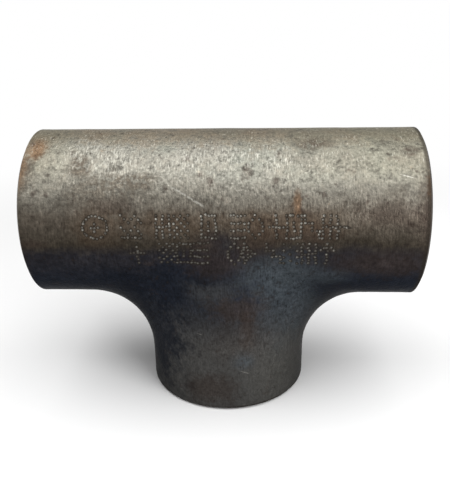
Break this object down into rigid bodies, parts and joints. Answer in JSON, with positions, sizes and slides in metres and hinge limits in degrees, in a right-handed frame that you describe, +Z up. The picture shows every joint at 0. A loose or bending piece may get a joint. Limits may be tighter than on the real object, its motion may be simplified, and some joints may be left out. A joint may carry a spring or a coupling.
{
  "type": "butt weld tee",
  "caption": "Equal butt weld tee in dark mill-scaled steel: a straight tube with a branch of the same bore drawn out of its side through a rounded crotch, all ends bevelled for welding.",
  "frame": {"origin": "centre of the branch's end face, on which the tee stands", "axes": "+X along the run, +Z up from the branch end to the run, +Y to the back"},
  "size_m": [0.096, 0.0424, 0.0692],
  "materials": {
    "mill_scaled_steel": "hot-formed carbon steel with dark mill scale, brown and orange rust freckles, handling scratches"
  },
  "bodies": {
    "root": {"tee": "mill_scaled_steel"}
  },
  "joints": []
}
